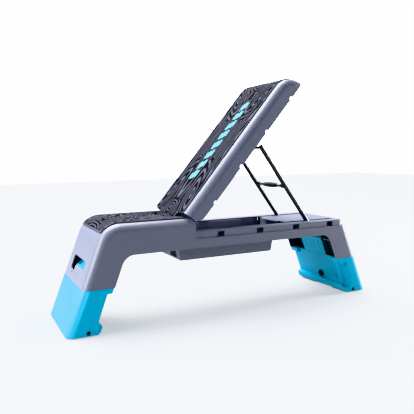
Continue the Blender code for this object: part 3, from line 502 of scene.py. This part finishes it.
def tread_mat(side, start, knots, name, finish, body, cutaway, turn=0.0):
    """A mat whose ridges stand up from a fine grid. Cutaway names the part of the grid to leave out."""
    length = corner_x - side * start + TURN * MAT_WRAP * (END_RADIUS + GLUE + MAT_THICKNESS)
    columns, rows = round(length / CELL), round(2 * MAT_HALF / CELL)
    bm = bmesh.new()
    bmesh.ops.create_grid(bm, x_segments=columns, y_segments=rows, size=0.5)
    gone = []
    for face in bm.faces:
        centre = face.calc_center_median()
        if cutaway((centre.x + 0.5) * length, centre.y * 2 * MAT_HALF):
            gone.append(face)
    bmesh.ops.delete(bm, geom=gone, context="FACES")
    uv = bm.loops.layers.uv.new("mat")
    flat = np.array([(vert.co.x + 0.5, vert.co.y) for vert in bm.verts]) * (length, 2 * MAT_HALF)
    height = tread(flat[:, 0], flat[:, 1], knots, length)
    # Each vertex keeps the tread's height, from which the finish paints shade into the grooves.
    groove_shade_height = bm.verts.layers.float.new("tread")
    bm.verts.ensure_lookup_table()
    for face in bm.faces:
        for loop in face.loops:
            loop[uv].uv = flat[loop.vert.index]
    rim = [edge for edge in bm.edges if edge.is_boundary]
    for vert, (s, y), h in zip(list(bm.verts), flat, height):
        x, z, out_x, out_z = mat_line(side, start, s)
        drop = (1 - h) * TREAD_DEPTH
        vert[groove_shade_height] = h
        vert.co = (x - out_x * drop, y * side, z - out_z * drop)
    skirt = bmesh.ops.extrude_edge_only(bm, edges=rim)["geom"]
    lowered = {item for item in skirt if isinstance(item, bmesh.types.BMVert)}
    for vert in lowered:
        depth = Vector((vert.co.x - side * corner_x, 0, vert.co.z - corner_z))
        down = Vector((0, 0, 1)) if side * vert.co.x < corner_x else depth.normalized()
        vert.co -= down * (MAT_THICKNESS - MAT_LIFT)
    bmesh.ops.recalc_face_normals(bm, faces=bm.faces)
    bmesh.ops.rotate(bm, verts=bm.verts, cent=HINGE, matrix=Matrix.Rotation(turn, 3, "Y"))
    for face in bm.faces:
        face.smooth = True
    return piece(name, bm, [finish], body)


PRINT_START, PRINT_PITCH, PRINT_COUNT = 0.226, 0.0480, 8
PRINT_SHARE, PRINT_SLANT, PRINT_HALF = 0.60, 0.45, 0.021
# The grooves' near-black colour is painted shade; the ridges' two tones are the crumb's random tone.
GROOVE_PAINTED_SHADE, RIDGE_DARK, RIDGE_LIGHT = (0.0008, 0.0008, 0.0014), (0.032, 0.034, 0.049), (0.051, 0.054, 0.076)
BAR_DARK, BAR_LIGHT = (0.095, 0.36, 0.41), (0.145, 0.43, 0.475)


def mat_finish(printed_bars):
    """Rubber crumb with a faint gloss and the print, and the grooves painted near black as shade."""
    made = Finish("tread_rubber", Specular_IOR_Level=0.03)
    groove_shade_height = made.node("Attribute", {"attribute_name": "tread"}, {}, 2)
    crumb = made.noise(scale=900.0, detail=3.0)
    patches = made.noise(scale=14.0, detail=3.0)
    ridge = made.mix(crumb, RIDGE_DARK, RIDGE_LIGHT)
    # Painted shade: the lower the tread, the nearer the colour comes to near black.
    colour = made.mix(groove_shade_height * groove_shade_height, GROOVE_PAINTED_SHADE, ridge)
    if printed_bars:
        spot = made.node("UVMap", {"uv_map": "mat"}, {})
        s = made.node("SeparateXYZ", {}, {0: spot}, 0)
        y = made.node("SeparateXYZ", {}, {0: spot}, 1)
        turn = ((s - PRINT_START) + y * PRINT_SLANT) / PRINT_PITCH
        printed = ((turn % 1.0) < PRINT_SHARE) * (abs(y) < PRINT_HALF) * (turn > 0.0) * (turn < PRINT_COUNT)
        thin = 0.72 + 0.28 * groove_shade_height
        colour = made.mix(printed * thin, colour, made.mix(crumb, BAR_DARK, BAR_LIGHT))
    made.feed("Base Color", colour)
    made.feed("Roughness", 0.66 + 0.18 * patches + 0.12 * crumb)
    made.relief(crumb, distance=0.00012)
    return made.material


SEAT_KNOTS = [
    (0.02, -0.02, 1.2, 20), (0.10, -0.11, 3.2, 38), (0.10, 0.10, 3.0, -34), (0.19, 0.0, 1.1, 0),
    (0.27, -0.10, 2.6, -30), (0.27, 0.11, 2.8, 24), (0.34, 0.01, 1.6, 80),
]
BACK_KNOTS = [
    (0.03, 0.0, 1.3, 0), (0.09, 0.0, 1.2, 90), (0.16, -0.09, 3.6, 20), (0.16, 0.09, 3.6, -20),
    (0.42, 0.0, 9.0, 0), (0.38, -0.118, 8.0, 1), (0.38, 0.118, 8.0, -1), (0.62, -0.09, 3.0, -30),
    (0.62, 0.09, 3.0, 30), (0.68, 0.0, 1.5, 90), (0.75, -0.06, 2.0, 45), (0.75, 0.06, 2.0, -45),
]
NOTCH_LENGTH, NOTCH_HALF = 0.059, 0.0725
seat_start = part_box("seat_mat")[1].x
seat = tread_mat(
    -1, seat_start, SEAT_KNOTS, "looks_seat_mat", mat_finish(False), body_of("seat_mat"),
    lambda s, y: s < NOTCH_LENGTH and abs(y) < NOTCH_HALF,
)
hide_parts("seat_mat")
TONGUE_END, TONGUE_LENGTH, TONGUE_HALF = -0.2368, 0.0788, 0.068
back = tread_mat(
    1, TONGUE_END, BACK_KNOTS, "looks_backrest_mat", mat_finish(True), body_of("backrest_mat"),
    lambda s, y: s < TONGUE_LENGTH and abs(y) > TONGUE_HALF, -BACK_ANGLE,
)
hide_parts("backrest_mat")

# ---------------------------------------------------------------- the folding legs
# A cyan moulding under each end, hollow and open at the top, with an arm that hangs it on its
# axle. It stands on black rubber feet and has a rubber bumper in its inner face. The arm inside
# the base is painted near black as shade, and a near-black baffle sheet of painted shade closes
# the view through the hollow.

CYAN, CYAN_SHADE = (0.001, 0.288, 0.462), (0.001, 0.266, 0.436)
# Painted shade: near-black cyan tones for the parts of the legs that stand in shade.
SHADED_CYAN, SHADED_CYAN_SHADE = (0.002, 0.035, 0.055), (0.001, 0.028, 0.045)
JET, BRIGHT_STEEL, GREASED_STEEL = (0.012, 0.012, 0.014), (0.52, 0.53, 0.55), (0.10, 0.10, 0.11)
blue = moulded("cyan_plastic", CYAN, CYAN_SHADE, 0.34, 0.10)


def rubber_finish(name, tint, roughness):
    made = Finish(name, IOR=1.5, Specular_IOR_Level=0.25)
    dust = made.noise(scale=35.0, detail=4.0)
    pores = made.noise(scale=1100.0, detail=2.0)
    made.feed("Base Color", made.mix(dust, tint, tuple(c * 2.2 for c in tint)))
    made.feed("Roughness", roughness + 0.15 * dust)
    made.relief(pores, distance=0.00008)
    return made.material


def metal_finish(name, tint, roughness, metallic):
    made = Finish(name, Metallic=metallic)
    brushed = made.noise(scale=260.0, detail=4.0)
    made.feed("Base Color", made.mix(brushed, tint, tuple(min(1, c * 1.3) for c in tint)))
    made.feed("Roughness", roughness + 0.14 * brushed)
    made.relief(brushed, distance=0.00002)
    return made.material


black_rubber = rubber_finish("black_rubber_finish", JET, 0.62)
steel = metal_finish("bright_steel_finish", BRIGHT_STEEL, 0.22, 1.0)
dull_steel = metal_finish("greased_steel", GREASED_STEEL, 0.45, 1.0)
# Painted shade: a near-black copy of the cyan for the arms and baffles inside the base.
blue_painted_shade = moulded("cyan_plastic_painted_shade", SHADED_CYAN, SHADED_CYAN_SHADE, 0.5)
STEEL_EDGE, RUBBER_EDGE = 0.0004, 0.0005
LEG_DEPTH, LEG_RECESS, LEG_TOP, LEG_EDGE = 0.1009, 0.0155, 0.1480, 0.0009
SKIN, PLATE_HALF, PLATE_PROUD = 0.0004, 0.113, 0.0014
POCKET_FROM, POCKET_FOOT, POCKET_TOP, POCKET_DEEP = 0.103, 0.046, 0.127, 0.0065
HOLLOW_RADIUS, HOLLOW_FOOT, HOLLOW_TOP, HOLLOW_Y = 0.0260, 0.0480, 0.1220, 0.1556
POST_FOOT, POST_TOP, POST_FRONT, POST_BACK = 0.006, 0.135, 0.002, 0.032
POST_FROM, POST_TO = 0.1240, 0.1540
FLUTE_PLACES, FLUTE_HALF, FLUTE_DEEP = (-0.044, -0.012, 0.010, 0.046), 0.0028, 0.0010
FLUTE_FOOT, FLUTE_FULL, FLUTE_TOP = 0.150, 0.168, 0.212


def face_x(z, deep=0.0):
    """How far from the middle a leg's recessed inner face lies at height z, moved outwards by deep."""
    return LENGTH / 2 - END_SLOPE * z - LEG_DEPTH + LEG_RECESS + deep


def flush(bm):
    """Brings the arm, the middle of the inner face and the pockets beside it into one plane."""
    for vert in bm.verts:
        proud = abs(vert.co.x) - face_x(vert.co.z)
        beside = abs(vert.co.y) > POCKET_FROM and POCKET_FOOT < vert.co.z < POCKET_TOP
        pocket = beside and -SKIN < proud < POCKET_DEEP
        if pocket or -SKIN < proud < PLATE_PROUD and abs(vert.co.y) < PLATE_HALF:
            vert.co.x = face_x(vert.co.z) * (1 if vert.co.x > 0 else -1)
    bmesh.ops.remove_doubles(bm, verts=bm.verts, dist=0.00002)
    bmesh.ops.dissolve_degenerate(bm, edges=bm.edges, dist=0.00001)
    bmesh.ops.dissolve_limit(bm, angle_limit=FLAT_WITHIN, verts=bm.verts, edges=bm.edges, delimit={"NORMAL"})


def leg_painted_shade(centre, normal):
    """Painted shade: all of the arm but its inner face, which stands in the shade of the base, takes the near-black
    cyan.
    """
    behind = abs(centre.x) - face_x(centre.z) > 0.0018
    return 1 if centre.z > LEG_TOP + 0.001 and behind else 0


LATHE_STEPS = 32


def lathe(outline):
    """A line of (radius, height) points turned round the Z axis."""
    bm = bmesh.new()
    line = [bm.verts.new((radius, 0, height)) for radius, height in outline]
    edges = [bm.edges.new(pair) for pair in zip(line, line[1:])]
    round_z = {"cent": (0, 0, 0), "axis": (0, 0, 1), "angle": 2 * pi, "steps": LATHE_STEPS}
    bmesh.ops.spin(bm, geom=line + edges, use_merge=True, **round_z)
    bmesh.ops.remove_doubles(bm, verts=bm.verts, dist=1e-6)
    bmesh.ops.recalc_face_normals(bm, faces=bm.faces)
    return bm


def corner_hollow(side, y_side):
    """The tool for the hollow along one inner corner of a leg: a rod with a round foot."""
    steps = [radians(-90 + 90 * k / 8) for k in range(9)]
    reach = (HOLLOW_TOP - HOLLOW_FOOT) * hypot(1, END_SLOPE)
    outline = [(0, -HOLLOW_RADIUS)] + [(HOLLOW_RADIUS * cos(a), HOLLOW_RADIUS * sin(a)) for a in steps[1:]]
    bm = lathe(outline + [(HOLLOW_RADIUS, reach), (0, reach)])
    turn = Vector((0, 0, 1)).rotation_difference(Vector((-side * END_SLOPE, 0, 1))).to_matrix().to_4x4()
    corner = (side * face_x(HOLLOW_FOOT), y_side * HOLLOW_Y, HOLLOW_FOOT)
    bmesh.ops.transform(bm, matrix=Matrix.Translation(corner) @ turn, verts=bm.verts)
    return bm


def corner_post(side, y_side):
    """The thick corner inside the leg that the hollow is sunk into."""
    front = [(face_x(z, POST_FRONT), z) for z in (POST_FOOT, POST_TOP)]
    back = [(face_x(z, POST_BACK), z) for z in (POST_TOP, POST_FOOT)]
    return slab(at_end(front + back, side), *sorted((y_side * POST_FROM, y_side * POST_TO)))


CUP = [
    (0.0075, 0.186), (0.0075, 0.190), (0.0052, 0.193), (0.0052, 0.1990), (0.0078, 0.2005), (0.0110, 0.1972),
    (0.0175, 0.1976), (0.0232, 0.2050), (0.0250, 0.2170), (0.0275, 0.2170), (0.0262, 0.2040), (0.0205, 0.1945),
    (0.0125, 0.1922), (0.0125, 0.186),
]
CHEEK = [(0.0075, 0.188), (0.0054, 0.2000), (0.0272, 0.2168), (0.0262, 0.2040), (0.0125, 0.188)]
CUP_CUT, CUP_FROM, CUP_TO, CHEEK_HALF = 0.1872, -0.0700, 0.0330, 0.0010


def lever_shape(side):
    """The lever's lower half as built, with a finger cup on top instead of its plain plate."""

    def shape(bm):
        lever = bm.verts[:] + bm.edges[:] + bm.faces[:]
        bmesh.ops.bisect_plane(bm, geom=lever, plane_co=(0, 0, CUP_CUT), plane_no=(0, 0, 1), clear_outer=True)
        bmesh.ops.holes_fill(bm, edges=[edge for edge in bm.edges if edge.is_boundary])
        cheeks = [(CHEEK, y - CHEEK_HALF, y + CHEEK_HALF) for y in (CUP_FROM, CUP_TO)]
        for outline, low, high in [(CUP, CUP_FROM, CUP_TO)] + cheeks:
            points = at_end([(reach_x(z, inset), z) for inset, z in outline], side)
            bm.from_mesh(as_mesh("cup", slab(points, low, high)))

    return shape


BUMPER_Z, BUMPER_RADIUS, BUMPER_HIGH, BUMPER_RIM = 0.0540, 0.0150, 0.0135, 0.0030
STEM_RADIUS, STEM_DEEP = 0.0055, 0.0090


def bumper(side):
    """A domed rubber buffer, turned on a lathe and pressed into the leg's inner face."""
    steps = [radians(90 * k / 8) for k in range(8)]
    outline = [(0, -STEM_DEEP), (STEM_RADIUS, -STEM_DEEP), (STEM_RADIUS, 0.0), (BUMPER_RADIUS, 0.0)]
    outline += [(BUMPER_RADIUS * cos(a), BUMPER_RIM + (BUMPER_HIGH - BUMPER_RIM) * sin(a)) for a in steps]
    bm = lathe(outline + [(0, BUMPER_HIGH)])
    inward = Vector((-side, 0, -END_SLOPE)).normalized()
    turn = Vector((0, 0, 1)).rotation_difference(inward).to_matrix().to_4x4()
    bmesh.ops.transform(bm, matrix=Matrix.Translation((side * face_x(BUMPER_Z), 0, BUMPER_Z)) @ turn, verts=bm.verts)
    return bm


BAFFLE = [(0.052, 0.146), (0.052, 0.229), (0.054, 0.229), (0.054, 0.146)]
BAFFLE_HALF, BAFFLE_EDGE = 0.120, 0.0004
FLUTE = [
    (FLUTE_FOOT, -0.001), (FLUTE_FULL, FLUTE_DEEP), (FLUTE_TOP, FLUTE_DEEP), (FLUTE_TOP, -0.01), (FLUTE_FOOT, -0.01),
]
for side, label in ENDS:
    leg = restyled("leg_shell_" + label, [blue, blue_painted_shade], LEG_EDGE, leg_painted_shade, flush)
    leg.modifiers.clear()
    carve(leg, corner_post(side, -side), "UNION")
    carve(leg, corner_hollow(side, -side))
    flute = at_end([(face_x(z, deep), z) for z, deep in FLUTE], side)
    for y in FLUTE_PLACES:
        carve(leg, slab(flute, y - FLUTE_HALF, y + FLUTE_HALF))
    rounded(leg, LEG_EDGE)
    # The baffle is a sheet of painted shade that closes the view through the leg's hollow.
    baffle = slab(at_end([(reach_x(z, inset), z) for inset, z in BAFFLE], side), -BAFFLE_HALF, BAFFLE_HALF)
    screen = piece("leg_baffle_" + label, baffle, [blue_painted_shade], "leg_" + label)
    rounded(screen, BAFFLE_EDGE)
    restyled("release_lever_" + label, [blue], THIN_EDGE, None, lever_shape(side))
    for name in ("rubber_foot_%s_near", "rubber_foot_%s_far", "side_plug_%s_near", "side_plug_%s_far"):
        restyled(name % label, [black_rubber], RUBBER_EDGE)
    buffer = piece("looks_leg_bumper_" + label, bumper(side), [black_rubber], "leg_" + label)
    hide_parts("leg_bumper_" + label)
    rounded(buffer, THIN_EDGE)
    restyled("leg_axle_" + label, [dull_steel], STEEL_EDGE)
    for name in ("lever_pin_", "lever_spring_"):
        restyled(name + label, [steel], STEEL_EDGE)

# ---------------------------------------------------------------- the hinge
# A steel rod through the base and the backrest's tongue, with a black cap pressed on each end.

restyled("hinge_rod", [steel], STEEL_EDGE)
restyled("hinge_cap_near", [black_rubber], RUBBER_EDGE)
restyled("hinge_cap_far", [black_rubber], RUBBER_EDGE)

# ---------------------------------------------------------------- the backrest
# A moulding like an upturned tray, of the same grey. Ribs stiffen it inside, and half-round
# notches in its skirt meet the band pockets of the rails. Round the hinge its hollow is painted
# near black as shade, two dark webs of painted shade stand in the tongue, and the rims of the
# tongue's walls are painted pale as a highlight.

TONGUE_ROOM, START_X = 0.0486, -0.1466
TONGUE_WALL = (0.0660, 0.0720)
ARC_START, ARC_END, ARC_STEPS = 143.3, 236, 16
OPENING_TOP, OPENING_LOW, OPENING_FOOT = 0.349, 0.270, 0.2585
RIM_FROM, RIM_TO, SHADE_HALF, SHADE_TOP, SHADE_PAST = 0.0690, 0.0728, 0.148, 0.3492, 0.003


def closed(point):
    """A point of the raised backrest, turned back down onto the deck."""
    return HINGE + Matrix.Rotation(BACK_ANGLE, 3, "Y") @ (point - HINGE)


def hinge_painted_shade_and_highlight(centre, normal):
    """The finish of a face: 1, painted shade, for what lies round the hinge; 2, a painted highlight, for the pale
    rim of the tongue's walls.
    """
    flat = closed(centre)
    before = flat.x < START_X + SHADE_PAST
    if abs(normal.y) > 0.9 and RIM_FROM < abs(flat.y) < RIM_TO and before:
        return 2
    inside = hypot(flat.x - HINGE.x, flat.z - HINGE.z) < TONGUE_ROOM or flat.x > HINGE.x
    return 1 if inside and before and abs(flat.y) < SHADE_HALF and flat.z < SHADE_TOP else 0


# Painted highlight: a pale grey for the rims of the tongue's walls, where their edges catch the light.
RIM_HIGHLIGHT_LILAC, RIM_HIGHLIGHT_DIM = (0.70, 0.72, 0.80), (0.66, 0.68, 0.76)
rim_painted_highlight = moulded("lilac_plastic_painted_highlight", RIM_HIGHLIGHT_LILAC, RIM_HIGHLIGHT_DIM, 0.40)
back_shell = restyled("backrest_shell", [grey, grey_painted_shade, rim_painted_highlight], RIM_EDGE)
back_shell.modifiers.clear()
steps = [radians(ARC_START + (ARC_END - ARC_START) * k / ARC_STEPS) for k in range(ARC_STEPS + 1)]
arc = [(HINGE.x + TONGUE_ROOM * cos(a), HINGE.z + TONGUE_ROOM * sin(a)) for a in steps]
opening = [(START_X, OPENING_TOP)] + arc + [(HINGE.x, OPENING_FOOT), (START_X, OPENING_LOW)]
for side in (-1, 1):
    window = slab(opening, *sorted(side * y for y in TONGUE_WALL))
    bmesh.ops.rotate(window, verts=window.verts, cent=HINGE, matrix=Matrix.Rotation(-BACK_ANGLE, 3, "Y"))
    carve(back_shell, window)
# Round the hinge the faces are painted near black as shade, and the walls' rims pale as a highlight.
for face in back_shell.data.polygons:
    face.material_index = hinge_painted_shade_and_highlight(face.center, face.normal)
rounded(back_shell, RIM_EDGE)
WEB_X, WEB_Y, WEB_HALF, WEB_EDGE = -0.1365, 0.0635, 0.0012, 0.0003
BORE_RADIUS, BORE_LENGTH = 0.0075, 0.2
spine = [(WEB_X, OPENING_TOP)] + arc
spine += [(-0.1600, 0.3055), (-0.1530, 0.3085), (-0.1522, OPENING_LOW), (WEB_X, OPENING_LOW)]
# The webs are dark sheets of painted shade that close the view through the tongue's hollow.
for y, name in ((-WEB_Y, "near"), (WEB_Y, "far")):
    web = slab(spine, y - WEB_HALF, y + WEB_HALF)
    bmesh.ops.rotate(web, verts=web.verts, cent=HINGE, matrix=Matrix.Rotation(-BACK_ANGLE, 3, "Y"))
    plate = piece("tongue_web_" + name, web, [grey_painted_shade], body_of("backrest_shell"))
    bore = bmesh.new()
    bmesh.ops.create_cone(
        bore, cap_ends=True, segments=24, radius1=BORE_RADIUS, radius2=BORE_RADIUS, depth=BORE_LENGTH
    )
    bmesh.ops.rotate(bore, verts=bore.verts, matrix=Matrix.Rotation(pi / 2, 3, "X"))
    bmesh.ops.translate(bore, verts=bore.verts, vec=HINGE)
    carve(plate, bore)
    rounded(plate, WEB_EDGE)

# ---------------------------------------------------------------- the prop
# Two black steel tubes joined by a bar at the top and a crossbar with a rubber grip. It stands in
# the channels of the deck and holds the backrest up by its brackets.

TUBE_EDGE, BRACKET_EDGE, FITTING_EDGE = 0.0005, 0.0008, 0.0004
paint_black = metal_finish("black_enamel", JET, 0.32, 0.25)
for name in ("prop_tube_near", "prop_tube_far", "prop_top_bar", "prop_crossbar"):
    restyled(name, [paint_black], TUBE_EDGE)
for name in ("prop_bracket_near", "prop_bracket_far"):
    restyled(name, [paint_black], BRACKET_EDGE)
for name in ("prop_foot_pin_near", "prop_foot_pin_far"):
    restyled(name, [steel], STEEL_EDGE)
for name in (
    "prop_grip", "prop_collar_near", "prop_collar_far", "prop_foot_cap_near", "prop_foot_cap_far",
    "prop_top_cap_near", "prop_top_cap_far",
):
    restyled(name, [black_rubber], FITTING_EDGE)
